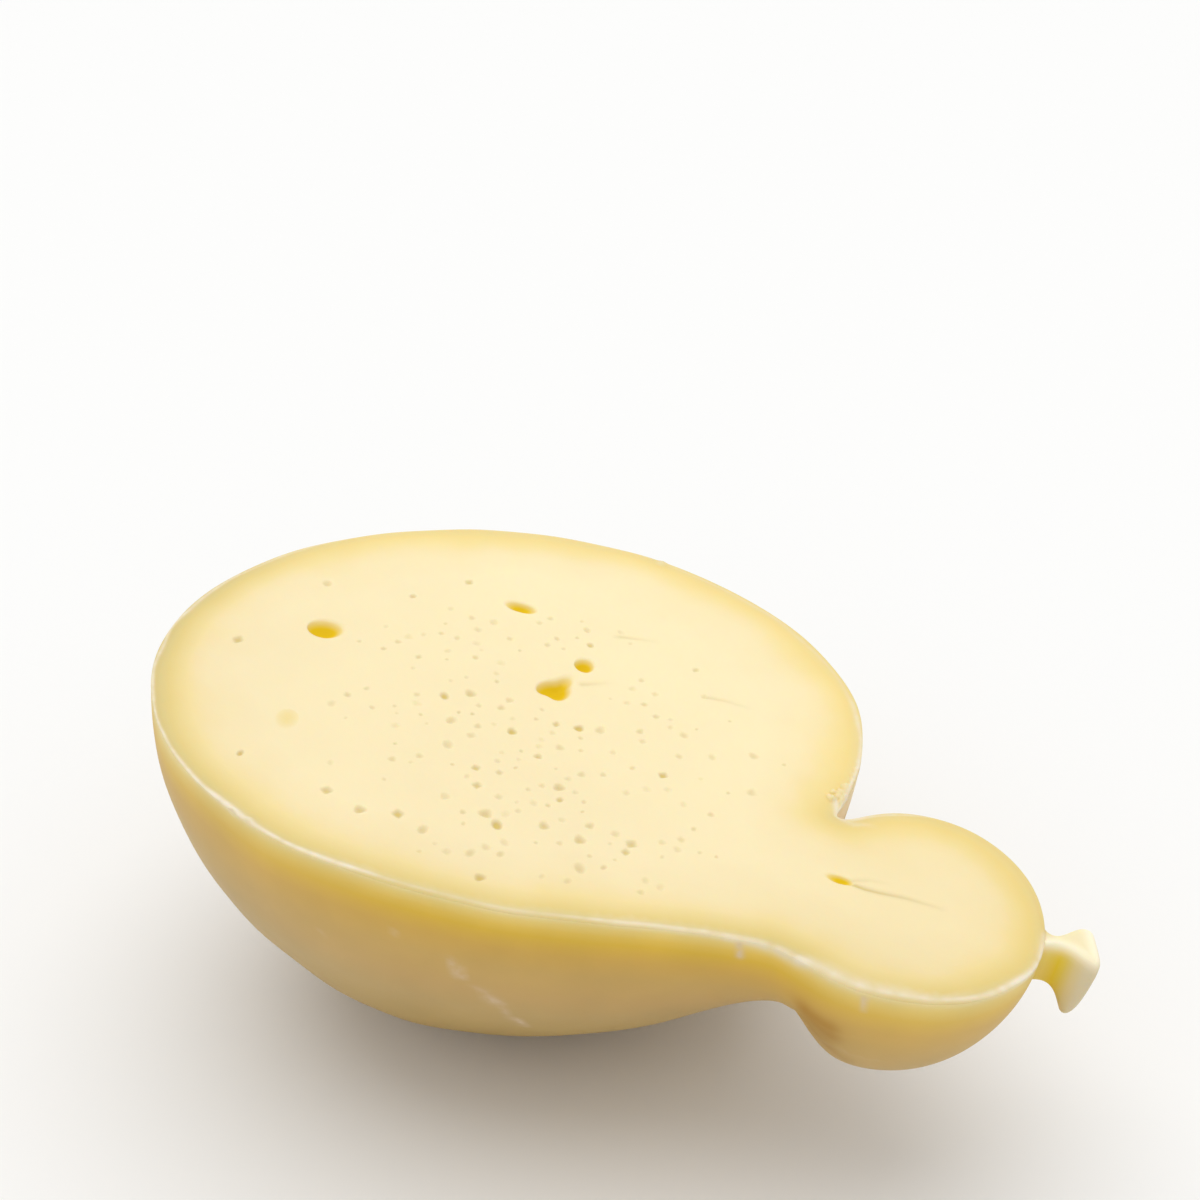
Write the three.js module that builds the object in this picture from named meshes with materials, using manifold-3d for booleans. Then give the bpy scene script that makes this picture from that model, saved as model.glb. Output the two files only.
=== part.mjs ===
// Half of a caciocavallo, a stretched-curd cheese that is tied round its neck and hung to ripen: a round
// body, a pinched neck and a small head with its closing nub, cut lengthwise. It lies on its rind with the
// cut face up. Millimetres, +Z up, +X towards the head. The origin is on the table, under the middle.
import * as THREE from "three";
import { mergeVertices } from "three/addons/utils/BufferGeometryUtils.js";
import Module from "manifold-3d";

// Lengths along the cheese are measured from its blunt end, and heights from the cut face.
const HEAD_AT = 180;
const CROWN_END = 210;
const CROWN_ROUNDNESS = 1.87;
// The blunt end and the crown sit a little to the smooth side of the line through the neck.
const BLUNT_END_Y = -7.5;
const CROWN_END_Y = -1.5;

// The three outlines that carry the shape. Each runs from the body's widest place over its shoulder to the
// neck, then up the cheek to the head's fullest place, at headAt. The tie bit deep into the creased edge,
// less under the head, and hardly into the smooth edge. fold and crease round off the ends of the neck.
const CREASED = {
  widest: 83.5, radius: 77.5, shoulder: 156, roundness: 2.22,
  neck: 14.5, fold: 3.5, crease: 4, cheek: 25, head: 31.5, headAt: HEAD_AT,
};
const KEEL = {
  widest: 83.5, radius: 77, shoulder: 172.2, roundness: 1.61,
  neck: 29.3, fold: 16.5, crease: 2, cheek: 16, head: 37.3, headAt: 182.7,
};
const SMOOTH = {
  widest: 73.5, radius: 76.5, shoulder: 171, roundness: 1.7,
  neck: 32.5, fold: 22, crease: 4, cheek: 17, head: 30.5, headAt: HEAD_AT,
};

// The dried rim of the rind stands a little proud of the cut.
const LIP_HEIGHT = 0.45;
const LIP_CREST_INSET = 0.7;
const LIP_WIDTH = 1.8;

// The nub is the twisted end of the curd: a thin stalk that spreads into the head at its root and flares to
// three corners and a rounded end. Each rail starts inside the head and ends at a corner of the flare.
const NUB_TOP = -0.2;
const NUB_NEAR = [[206, 3.4, NUB_TOP], [209.4, 14.1, NUB_TOP], [214.4, 11, NUB_TOP], [219, 11, NUB_TOP]];
const NUB_FAR = [[204.4, 15.6, NUB_TOP], [211.3, 7, NUB_TOP], [209.4, 20, NUB_TOP], [212.9, 20.3, NUB_TOP]];
const NUB_KEEL = [[203.4, 9, -14.1], [211.5, 9, -6], [212.6, 9, -9.8], [215.1, 9, -14.3]];
const NUB_SQUARENESS = 0.88;
const NUB_BULGE = 2.2;
const NUB_END_ROUNDNESS = 2.6;

// Gas holes that the cut opened. turn is the angle of the long axis from +X, in degrees.
const EYES = [
  { at: [30.8, -10.2], length: 9.4, width: 8.8, depth: 3, turn: 40 },
  { at: [56.4, 31.5], length: 8.8, width: 5.4, depth: 2.2, turn: 16 },
  { at: [83.3, 10.3], length: 12.2, width: 7.8, depth: 3.4, turn: 95 },
  { at: [82.4, 22.3], length: 6.4, width: 5.8, depth: 2.6, turn: 125 },
  { at: [49.2, -44.1], length: 7, width: 5.2, depth: 0.6, turn: 125 },
  { at: [166.7, -4], length: 7, width: 3, depth: 1.4, turn: 17 },
];
const PINHOLE_WIDTH = 2;
const PINHOLE_DEPTH = 1;
const PINHOLES = [
  [70.8, -6.7], [74.2, -18.3], [86.3, -11.7], [91.7, -2.3], [96.3, 0.2], [73.7, 35.5],
  [100.3, -39.3], [80.8, -56.9], [119.7, -32.2], [128.3, -25.4], [105.6, -20.7], [50.2, -60.2],
];

// At rest the cheese has rolled on to its keel with the head low, and its weight has flattened a small spot.
const HEAD_DOWN = THREE.MathUtils.degToRad(7.8);
const CREASED_SIDE_DOWN = THREE.MathUtils.degToRad(2.4);
const FLAT_SPOT_DEPTH = 1.6;

// How finely the surfaces are divided.
const OUTLINE_STEP = 3.4;
const SECTION_STEPS = 30;
const NUB_STEPS = 9;
const NUB_SECTION_STEPS = 14;
const NUB_END_RINGS = [0.97, 0.85, 0.5];
const EYE_DETAIL = 4;
const PINHOLE_DETAIL = 1;
const MERGE_DISTANCE = 1e-4;

const wasm = await Module();
wasm.setup();

// The larger of two lengths, rounded off where they cross.
function softMax(a, b, blend) {
  const overlap = Math.max(blend - Math.abs(a - b), 0) / blend;
  return Math.max(a, b) + (overlap * overlap * blend) / 4;
}

// A quarter of a superellipse: 1 at share 0, falling to 0 at share 1.
function arc(share, roundness) {
  return Math.max(1 - Math.max(share, 0) ** roundness, 0) ** (1 / roundness);
}

// The distance of one outline from the axis, x along the cheese.
function reach(outline, x) {
  const { widest, radius, shoulder, roundness, neck, fold, crease, cheek, head, headAt } = outline;
  const front = (at) => {
    const body = radius * arc((at - widest) / (shoulder - widest), roundness);
    const face = head * arc((headAt - at) / cheek, 2);
    return softMax(softMax(body, neck, fold), face, crease);
  };
  if (x < widest) {
    return radius * arc((widest - x) / widest, 2);
  }
  if (x < headAt) {
    return front(x);
  }
  return front(headAt) * arc((x - headAt) / (CROWN_END - headAt), CROWN_ROUNDNESS);
}

// The sideways shift of the section at x.
function middle(x) {
  const back = Math.max(1 - x / KEEL.widest, 0);
  const crown = Math.max((x - HEAD_AT) / (CROWN_END - HEAD_AT), 0);
  return BLUNT_END_Y * back ** 2 + CROWN_END_Y * crown ** 2;
}

// Places along the cheese between its two ends, an even step apart along the creased edge.
function stations() {
  const pace = 0.02;
  const places = [];
  let walked = 0;
  for (let x = pace; x < CROWN_END; x += pace) {
    walked += Math.hypot(pace, reach(CREASED, x) - reach(CREASED, x - pace));
    if (walked >= OUTLINE_STEP) {
      places.push(x);
      walked = 0;
    }
  }
  return places;
}

// A closed geometry from corner points [x, y, z] and triangles of their numbers.
function geometryOf(points, triangles) {
  return new THREE.BufferGeometry()
    .setAttribute("position", new THREE.Float32BufferAttribute(points.flat(), 3))
    .setIndex(triangles.flat());
}

// Two triangles for each step along two rows of point numbers.
function strip(row, next) {
  return row.slice(1).flatMap((_, i) => [
    [row[i], row[i + 1], next[i + 1]],
    [row[i], next[i + 1], next[i]],
  ]);
}

// The rind is a row of half sections, each a pair of quarter ellipses from the creased edge over the keel to
// the smooth edge. The cut face closes it: the lip follows the outline in inset loops, and the rest is flat.
function halfBody() {
  const points = [];
  const triangles = [];
  const add = (x, y, z) => {
    points.push([x, y, z]);
    return points.length - 1;
  };
  const blunt = add(0, BLUNT_END_Y, 0);
  const sections = stations().map((x) => {
    const section = [];
    for (let i = 0; i <= SECTION_STEPS; i++) {
      const turn = (Math.PI * i) / SECTION_STEPS;
      const side = reach(turn < Math.PI / 2 ? CREASED : SMOOTH, x);
      const drop = i === SECTION_STEPS ? 0 : reach(KEEL, x) * Math.sin(turn);
      section.push(add(x, middle(x) + side * Math.cos(turn), -drop));
    }
    return section;
  });
  const tip = add(CROWN_END, CROWN_END_Y, 0);
  const first = sections[0];
  const last = sections.at(-1);
  for (let i = 0; i < SECTION_STEPS; i++) {
    triangles.push([blunt, first[i], first[i + 1]], [tip, last[i + 1], last[i]]);
  }
  sections.slice(1).forEach((section, i) => triangles.push(...strip(section, sections[i])));

  const creasedEdge = sections.map((section) => section[0]);
  const smoothEdge = sections.map((section) => section[SECTION_STEPS]).reverse();
  const edge = [blunt, ...creasedEdge, tip, ...smoothEdge];
  const inset = (distance, height) =>
    edge.map((number, i) => {
      const before = points[edge.at(i - 1)];
      const after = points[edge[(i + 1) % edge.length]];
      const along = new THREE.Vector2(after[0] - before[0], after[1] - before[1]).normalize();
      const [x, y] = points[number];
      return add(x + along.y * distance, y - along.x * distance, height);
    });
  const crest = inset(LIP_CREST_INSET, LIP_HEIGHT);
  const inner = inset(LIP_WIDTH, 0);
  const closed = (loop) => [...loop, loop[0]];
  triangles.push(...strip(closed(crest), closed(edge)), ...strip(closed(inner), closed(crest)));
  const flat = inner.map((number) => new THREE.Vector2(...points[number]));
  for (const corners of THREE.ShapeUtils.triangulateShape(flat, [])) {
    triangles.push(corners.map((i) => inner[i]));
  }
  return geometryOf(points, triangles);
}

// The nub is lofted on three rails: each section is a squared half ellipse hung between the far and the near
// rail down to the keel rail, closed by the flat top. The last one shrinks outwards into a rounded end.
function nub() {
  const rail = (stops) => new THREE.CubicBezierCurve3(...stops.map((p) => new THREE.Vector3(...p)));
  const rails = [NUB_FAR, NUB_NEAR, NUB_KEEL].map(rail);
  const squared = (value) => Math.sign(value) * Math.abs(value) ** NUB_SQUARENESS;
  const sections = [];
  for (let s = 0; s <= NUB_STEPS; s++) {
    const [far, near, keel] = rails.map((curve) => curve.getPoint(s / NUB_STEPS));
    const top = far.clone().lerp(near, 0.5);
    const across = far.clone().sub(top);
    const down = keel.clone().sub(top);
    const section = [];
    for (let i = 0; i <= NUB_SECTION_STEPS; i++) {
      const turn = (Math.PI * i) / NUB_SECTION_STEPS;
      const drop = i === NUB_SECTION_STEPS ? 0 : squared(Math.sin(turn));
      const level = top.clone().addScaledVector(across, squared(Math.cos(turn)));
      section.push(level.addScaledVector(down, drop));
    }
    sections.push(section);
  }
  const centreOf = (section) =>
    section.reduce((sum, p) => sum.add(p), new THREE.Vector3()).divideScalar(section.length);
  const foot = centreOf(sections[0]);
  const flare = sections.at(-1);
  const hub = centreOf(flare);
  const outwards = hub.clone().sub(foot).normalize();
  for (const share of NUB_END_RINGS) {
    const rise = NUB_BULGE * arc(share, NUB_END_ROUNDNESS);
    sections.push(flare.map((p) => hub.clone().lerp(p, share).addScaledVector(outwards, rise)));
  }
  const footNumber = sections.length * flare.length;
  const endNumber = footNumber + 1;
  const points = [...sections.flat(), foot, hub.clone().addScaledVector(outwards, NUB_BULGE)];
  const loops = sections.map((section, s) => {
    const numbers = section.map((_, i) => s * section.length + i);
    return [...numbers, numbers[0]];
  });
  const triangles = loops.slice(1).flatMap((loop, i) => strip(loop, loops[i]));
  const start = loops[0];
  const end = loops.at(-1);
  for (let i = 0; i <= NUB_SECTION_STEPS; i++) {
    triangles.push([footNumber, start[i], start[i + 1]], [endNumber, end[i + 1], end[i]]);
  }
  return geometryOf(points.map((p) => p.toArray()), triangles);
}

// An ellipsoid centred on the cut face, whose lower half is the hollow of one eye.
function eye({ at, length, width, depth, turn }, detail) {
  return new THREE.IcosahedronGeometry(1, detail)
    .scale(length / 2, width / 2, depth)
    .rotateZ(THREE.MathUtils.degToRad(turn))
    .translate(at[0], at[1], 0);
}

function solidOf(geometry) {
  const bare = new THREE.BufferGeometry()
    .setAttribute("position", geometry.getAttribute("position"))
    .setIndex(geometry.index);
  const merged = mergeVertices(bare, MERGE_DISTANCE);
  return new wasm.Manifold(
    new wasm.Mesh({
      numProp: 3,
      vertProperties: merged.getAttribute("position").array,
      triVerts: new Uint32Array(merged.index.array),
    }),
  );
}

function geometryFrom(solid) {
  const { vertProperties, triVerts } = solid.getMesh();
  return new THREE.BufferGeometry()
    .setAttribute("position", new THREE.BufferAttribute(vertProperties, 3))
    .setIndex(new THREE.BufferAttribute(triVerts, 1));
}

// Laid down as it rests: turned, set on the table over its middle, and flattened where it stands.
function laidDown(geometry) {
  const turn = new THREE.Euler(-CREASED_SIDE_DOWN, HEAD_DOWN, 0, "YXZ");
  const laid = geometry.applyMatrix4(new THREE.Matrix4().makeRotationFromEuler(turn));
  laid.computeBoundingBox();
  const centre = laid.boundingBox.getCenter(new THREE.Vector3());
  laid.translate(-centre.x, -centre.y, -laid.boundingBox.min.z - FLAT_SPOT_DEPTH);
  const table = new THREE.BoxGeometry(CROWN_END, CROWN_END, CROWN_END).translate(0, 0, -CROWN_END / 2);
  return geometryFrom(solidOf(laid).subtract(solidOf(table)));
}

let cheese = solidOf(halfBody()).add(solidOf(nub()));
for (const hole of EYES) {
  cheese = cheese.subtract(solidOf(eye(hole, EYE_DETAIL)));
}
for (const at of PINHOLES) {
  const hole = { at, length: PINHOLE_WIDTH, width: PINHOLE_WIDTH, depth: PINHOLE_DEPTH, turn: 0 };
  cheese = cheese.subtract(solidOf(eye(hole, PINHOLE_DETAIL)));
}

const paste = new THREE.MeshStandardMaterial({ color: 0xf3e0a6, roughness: 0.55, metalness: 0 });
const half = new THREE.Mesh(laidDown(geometryFrom(cheese)), paste);
half.geometry.computeVertexNormals();
half.name = "cheese_half";

const caciocavallo = new THREE.Group();
caciocavallo.add(half);

export default caciocavallo;
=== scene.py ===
# Half of a caciocavallo, cut lengthwise and lying on its rind with the cut face up.
import math

import bpy
import numpy as np
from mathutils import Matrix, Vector
from mathutils.geometry import delaunay_2d_cdt
from mathutils.kdtree import KDTree


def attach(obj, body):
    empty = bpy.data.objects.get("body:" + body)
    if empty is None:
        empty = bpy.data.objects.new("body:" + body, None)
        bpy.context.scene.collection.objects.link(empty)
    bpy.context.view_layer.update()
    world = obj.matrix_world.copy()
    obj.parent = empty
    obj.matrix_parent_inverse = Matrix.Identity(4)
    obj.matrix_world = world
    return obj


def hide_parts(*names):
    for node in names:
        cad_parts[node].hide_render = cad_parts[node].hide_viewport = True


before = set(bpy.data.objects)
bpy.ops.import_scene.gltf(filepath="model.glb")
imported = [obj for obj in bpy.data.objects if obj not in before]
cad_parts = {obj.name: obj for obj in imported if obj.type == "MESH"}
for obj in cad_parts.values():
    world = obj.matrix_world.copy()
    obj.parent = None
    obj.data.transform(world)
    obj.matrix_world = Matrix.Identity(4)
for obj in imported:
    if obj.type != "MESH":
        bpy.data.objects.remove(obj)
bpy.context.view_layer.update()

# The rind
# Stretched curd shaped by hand, closed under hot water, tied round the neck and hung to ripen, so its skin is
# one smooth waxy surface: a round body, a neck that the tie bit into on one side, and a small head. Lengths
# are millimetres in the cut's own frame: x from the blunt end, y to the creased side, z up from the cut.
HEAD_AT = 180
CROWN_END = 210
CROWN_ROUNDNESS = 1.87
BLUNT_END_Y = -7.5
CROWN_END_Y = -1.5
CREASED = dict(
    widest=83.5, radius=77.5, shoulder=156, roundness=2.22,
    neck=14.5, fold=3.5, crease=4, cheek=25, head=31.5, head_at=HEAD_AT,
)
KEEL = dict(
    widest=83.5, radius=77, shoulder=172.2, roundness=1.61,
    neck=29.3, fold=16.5, crease=2, cheek=16, head=37.3, head_at=182.7,
)
SMOOTH = dict(
    widest=73.5, radius=76.5, shoulder=171, roundness=1.7,
    neck=32.5, fold=22, crease=4, cheek=17, head=30.5, head_at=HEAD_AT,
)
RIND_STATIONS = 380
RIND_COLUMNS = 131
WALK_SAMPLES = 20001
END_CROWDING = 0.7
NECK_AT = 160
NECK_SPREAD = 14
NECK_CROWDING = 1.6
TURN_EVEN = 0.1
TURN_CROWDED = 0.9
UNEVENNESS = 0.1
UNEVEN_WAVES = np.array([[61, 83, 70], [47, -58, 66], [-39, 52, 44], [29, 34, -37]])
UNEVEN_PHASES = np.array([0.4, 2.1, 4.4, 5.3])


def soft_max(a, b, blend):
    """The larger of two lengths, rounded off where they cross: plus a quarter of the squared overlap."""
    overlap = np.maximum(blend - np.abs(a - b), 0) / blend
    return np.maximum(a, b) + overlap**2 * blend / 4


def arc(share, roundness):
    """A quarter of a superellipse: 1 at share 0, falling to 0 at share 1."""
    return np.maximum(1 - np.maximum(share, 0) ** roundness, 0) ** (1 / roundness)


def reach(outline, x):
    """The distance of one outline from the axis: round back, shoulder, neck, cheek and crown."""
    head_at = outline["head_at"]

    def front(at):
        shoulder = (at - outline["widest"]) / (outline["shoulder"] - outline["widest"])
        body = outline["radius"] * arc(shoulder, outline["roundness"])
        cheek = outline["head"] * arc((head_at - at) / outline["cheek"], 2)
        return soft_max(soft_max(body, outline["neck"], outline["fold"]), cheek, outline["crease"])

    back = outline["radius"] * arc((outline["widest"] - x) / outline["widest"], 2)
    crown = front(head_at) * arc((x - head_at) / (CROWN_END - head_at), CROWN_ROUNDNESS)
    return np.where(x < outline["widest"], back, np.where(x < head_at, front(x), crown))


def middle(x):
    """The sideways shift of the section at x: squared towards the blunt end and towards the crown."""
    back = np.maximum(1 - x / KEEL["widest"], 0)
    crown = np.maximum((x - HEAD_AT) / (CROWN_END - HEAD_AT), 0)
    return BLUNT_END_Y * back**2 + CROWN_END_Y * crown**2


def stations(count):
    """Places from end to end: even steps along the creased edge, drawn closer at both ends and at the neck.

    With t from 0 to 1 the walked share is t - crowding sin(2 pi t) / (2 pi), and a step near the neck counts
    for more by a bell.
    """
    x = CROWN_END * (1 - np.cos(np.linspace(0, np.pi, WALK_SAMPLES))) / 2
    step = np.hypot(np.diff(x), np.diff(reach(CREASED, x)))
    crowding = 1 + NECK_CROWDING * np.exp(-(((x[1:] - NECK_AT) / NECK_SPREAD) ** 2))
    walked = np.append(0, np.cumsum(step * crowding))
    t = np.linspace(0, 1, count)
    return np.interp((t - END_CROWDING * np.sin(2 * np.pi * t) / (2 * np.pi)) * walked[-1], walked, x)


def section_turns(count):
    """Angles from the creased edge under the keel to the smooth edge, closer towards both edges.

    From either edge the angle is a quarter turn times an even share of t plus a crowded share of t squared.
    """
    t = np.linspace(0, 1, count // 2 + 1)
    quarter = np.pi / 2 * (TURN_EVEN * t + TURN_CROWDED * t**2)
    return np.append(quarter, np.pi - quarter[-2::-1])


def half_sections(x, turn):
    """Half ellipses hung under the cut: y = middle + side cos(turn) and z = -keel sin(turn)."""
    side = np.where(turn < np.pi / 2, reach(CREASED, x)[:, None], reach(SMOOTH, x)[:, None])
    y = middle(x)[:, None] + side * np.cos(turn)
    z = -reach(KEEL, x)[:, None] * np.sin(turn)
    return np.stack([np.broadcast_to(x[:, None], y.shape), y, z], -1)


def grid_normals(points):
    """Outward unit normals of the sections: step along crossed with step across, and the axis at the ends."""
    normals = np.cross(np.gradient(points, axis=0), np.gradient(points, axis=1))
    normals[0] = (-1, 0, 0)
    normals[-1] = (1, 0, 0)
    return normals / np.linalg.norm(normals, axis=-1, keepdims=True)


def unevenness(points):
    """The slight waviness of a hand-shaped skin: slow sine waves across space, summed."""
    waves = 2 * np.pi * (points[..., None, :] / UNEVEN_WAVES).sum(-1)
    return UNEVENNESS * np.sin(waves + UNEVEN_PHASES).sum(-1)


along = stations(RIND_STATIONS)
turns = section_turns(RIND_COLUMNS)
smooth_rind = half_sections(along, turns)

# The lip
# The dried rim of the rind, where the blade left the skin: a pale bead a little proud of the cut and of the
# skin, thin round the body, broad under the neck and on the head, flecked, and torn in the notch of the tie.
LIP_PROUD = 0.16
LIP_PROUD_DEPTH = 0.4
LIP_PROUD_SPREAD = 0.45
LIP_INSETS = np.array([0, 0.1, 0.25, 0.5, 0.8, 1.15, 1.6, 2.1])
LIP_HEIGHTS = np.array([0, 0.06, 0.14, 0.24, 0.3, 0.26, 0.12, 0])
SWELLS = dict(spacing=13, seed=11)
FLECKS = dict(spacing=1.5, seed=12)
WANDERINGS = dict(spacing=9, seed=13)
LIP_WANDER = 0.8
# Factors that follow the swells or the flecks: the least factor, and what a full swell or fleck adds to it.
WIDTH_BY_SWELL = (0.7, 0.6)
PALE_BY_SWELL = (0.75, 0.25)
PALE_BY_FLECK = (0.7, 0.5)
HEIGHT_BY_FLECK = (0.4, 0.6)
# Stops (x, value) along each edge: how broad the lip is, how pale, and how far inside the edge it is palest.
CREASED_LIP = [(0, 0.5), (150, 0.5), (160, 0.45), (166, 0.3), (203, 0.35), (206, 0.3), (208, 0.8), (210, 0.9)]
CREASED_PALE = [
    (0, 0.5), (10, 0.1), (60, 0.1), (90, 0.3), (132, 0.3), (146, 0.7), (150, 0.9), (156, 0.9), (166, 0.5),
    (175, 0.1), (206.5, 0), (207.5, 0.5), (210, 0.9),
]
SMOOTH_LIP = [
    (0, 0.4), (30, 0.45), (65, 0.7), (136, 0.8), (141, 1.1), (155, 1.0), (163, 1.5), (170, 1.9), (180, 1.7),
    (190, 1.5), (200, 1.3), (210, 0.8),
]
SMOOTH_PALE = [
    (0, 0.7), (30, 0.9), (55, 1.05), (95, 0.9), (102, 0.38), (130, 0.38), (138, 0.75), (156, 0.65),
    (165, 0.75), (172, 0.85), (190, 0.65), (205, 0.7), (210, 1.0),
]
CREASED_PALEST = [(0, 0.3), (60, 0.3), (90, 1.2), (132, 1.2), (146, 0.3), (210, 0.3)]
SMOOTH_PALEST = [
    (0, 0.3), (66, 0.6), (76, 1.1), (155, 1.1), (163, 0), (167, -0.6), (172, -0.3), (178, 1.9), (195, 2.1),
    (202, 1.8), (206, 1), (210, 0.3),
]


def knotted(places, spacing, seed):
    """Seeded smooth values from 0 to 1: random knots a spacing apart, joined by half cosines."""
    knots = np.random.default_rng(seed).random(int(places.max() / spacing) + 2)
    share = places / spacing
    left = share.astype(int)
    ease = (1 - np.cos(np.pi * (share - left))) / 2
    return knots[left] * (1 - ease) + knots[left + 1] * ease


def factor(share, least, gain):
    """A factor that grows with a share: least + gain times the share."""
    return least + gain * share


def edge_of(grid):
    """The loop where the rind meets the cut: out along the creased edge and back along the smooth one."""
    return np.concatenate([grid[:, 0], grid[-2:0:-1, -1]])


def along_edge(creased_stops, smooth_stops):
    """A value for each point of the edge, read off the stops of its own side."""
    creased = np.interp(edge[:, 0], *np.transpose(creased_stops))
    smooth = np.interp(edge[:, 0], *np.transpose(smooth_stops))
    return np.where(np.arange(len(edge)) < RIND_STATIONS, creased, smooth)


def inset(loop, distance):
    """The loop moved inwards in the cut plane, square to the line through each point's two neighbours."""
    step = np.roll(loop, -1, axis=0) - np.roll(loop, 1, axis=0)
    step = step / np.hypot(step[:, 0], step[:, 1])[:, None]
    return loop + distance * np.stack([step[:, 1], -step[:, 0], np.zeros(len(loop))], -1)


edge = edge_of(smooth_rind)
edge_walked = np.append(0, np.cumsum(np.linalg.norm(np.diff(edge, axis=0), axis=1)))
swells = knotted(edge_walked, **SWELLS)
flecks = knotted(edge_walked, **FLECKS)
wanderings = knotted(edge_walked, **WANDERINGS)
lip_width = along_edge(CREASED_LIP, SMOOTH_LIP) * factor(swells, *WIDTH_BY_SWELL)
lip_pale = along_edge(CREASED_PALE, SMOOTH_PALE) * factor(swells, *PALE_BY_SWELL)
lip_pale = np.minimum(lip_pale * factor(flecks, *PALE_BY_FLECK), 1)
lip_palest = along_edge(CREASED_PALEST, SMOOTH_PALEST) + LIP_WANDER * (wanderings - 0.5)
lip_height = np.minimum(lip_width, 1) * factor(flecks, *HEIGHT_BY_FLECK)

creased_lip = lip_height[:RIND_STATIONS]
smooth_lip = np.concatenate([lip_height[:1], lip_height[: RIND_STATIONS - 2 : -1]])
lip_of_column = np.where(turns < np.pi / 2, creased_lip[:, None], smooth_lip[:, None])
below_edge = -smooth_rind[..., 2]
bead = LIP_PROUD * np.exp(-(((below_edge - LIP_PROUD_DEPTH) / LIP_PROUD_SPREAD) ** 2)) * lip_of_column
rind = smooth_rind + grid_normals(smooth_rind) * (bead + unevenness(smooth_rind))[..., None]
edge = edge_of(rind)
lip_loops = np.stack([inset(edge, distance) for distance in LIP_INSETS])
lip_loops[..., 2] = LIP_HEIGHTS[:, None] * lip_height

# The cut face
# The paste that the blade laid bare: flat, close and waxy, with a few gas holes that it opened, a slit where
# the head was folded shut, hairline tears, and many pinholes that crowd towards the middle of the body.
# A hole's slope is the angle of the side where its wall runs out gently, and tint is how yellow it looks:
# in an eye the yellow is painted bounce light, and in a pinhole or tear the tint is painted shade.
EYES = [
    dict(
        at=(30.8, -10.2), length=9.6, width=9.1, depth=1.9, turn=40,
        slope=60, corners=2, bluntness=0.03, tint=1,
    ),
    dict(
        at=(56.4, 31.5), length=8.9, width=5.6, depth=1.3, turn=16,
        slope=110, corners=2, bluntness=0.06, tint=0.9,
    ),
    dict(
        at=(83.3, 10.3), length=12.6, width=8.0, depth=2.1, turn=95,
        slope=80, corners=3, bluntness=0.16, tint=1,
    ),
    dict(
        at=(82.4, 22.3), length=6.6, width=5.8, depth=1.5, turn=125,
        slope=70, corners=2, bluntness=0.04, tint=1,
    ),
    dict(
        at=(167.3, -3.8), length=7.0, width=3.2, depth=0.7, turn=17,
        slope=100, corners=1, bluntness=-0.22, tint=0.9,
    ),
]
SHALLOW_EYE = dict(
    at=(48.7, -44.0), length=7.8, width=5.8, depth=0.25, turn=125,
    slope=295, corners=2, bluntness=0.05, tint=0.35,
)
DARK_PINHOLE = dict(
    at=(50.2, -60.2), length=2.6, width=1.8, depth=0.4, turn=110,
    slope=100, corners=2, bluntness=0.1, tint=1,
)
# Powers of a bowl on its steep and on its gentle side: walls shape a hole, and painted bounce light colours
# an eye.
EYE_WALLS = (0.6, 2.6)
EYE_PAINTED_LIGHT = (0.25, 2.7)
SHALLOW_PAINTED_LIGHT = (0.25, 0.7)
SHALLOW_TINT = 0.21
PIT_WALLS = (1.0, 1.6)
CRUMB_WALLS = (0.5, 0.9)
EYE_RINGS = (1.2, 1.08, 1.0, 0.985, 0.95, 0.89, 0.8, 0.68, 0.54, 0.38, 0.2, 0)
EYE_SPOKES = 56
LARGE_PINHOLES = [
    (74.2, -18.2), (86.3, -11.7), (96.3, 0.2), (119.8, -0.7), (106, -20.8), (100.3, -39.3), (104.2, -40.6),
    (94.3, -52.8), (119.8, -32.3), (128.4, -25.6), (80.8, -56.9), (70.7, -6.8),
]
PINHOLES = [
    (67.2, -11.9), (78.6, -2.5), (100.1, 3.1), (91.7, -2.3), (96.1, -15.1), (89, -28.2), (93, -32.9),
    (108.7, -24.3), (90.6, -40.8), (111.6, -33.9), (118.6, -27), (79.4, -25.9), (73.8, 35), (78.2, 30.1),
    (102.2, 40.1), (87.3, -52.4), (112.2, -56.6), (125.2, -39.9), (19.7, -28.8), (35.3, 15.6), (56.1, 21),
    (40.6, 31), (71.6, -56.9), (129, -28.8), (17.4, 4.6),
]
LARGE_PINHOLE_WIDTHS = (2.5, 3.5)
PINHOLE_WIDTHS = (1.8, 3.1)
PINHOLE_RINGS = (1.3, 1.0, 0.9, 0.65, 0.35, 0)
PINHOLE_SPOKES = 14
PRICKS = 150
PRICK_WIDTHS = (1.1, 2.6)
PRICK_RINGS = (1.3, 1.0, 0.7, 0.35, 0)
PRICK_SPOKES = 9
PRICKS_AT = (92, -8)
PRICKS_SPREAD = (30, 27)
PRICKS_LIMIT = 1.9
PRICKS_FROM_EDGE = 9
CLUSTERED = 0.55
CLUSTER_SPREAD = 4.5
# Spans that small hollows draw from: length over width, turn, slope, number of corners and share of the tint.
SMALL_LENGTHS = (0.95, 1.3)
SMALL_TURNS = (90, 160)
SMALL_SLOPES = (60, 160)
SMALL_CORNERS = (2, 5)
SMALL_TINTS = (0.45, 1.45)
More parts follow.
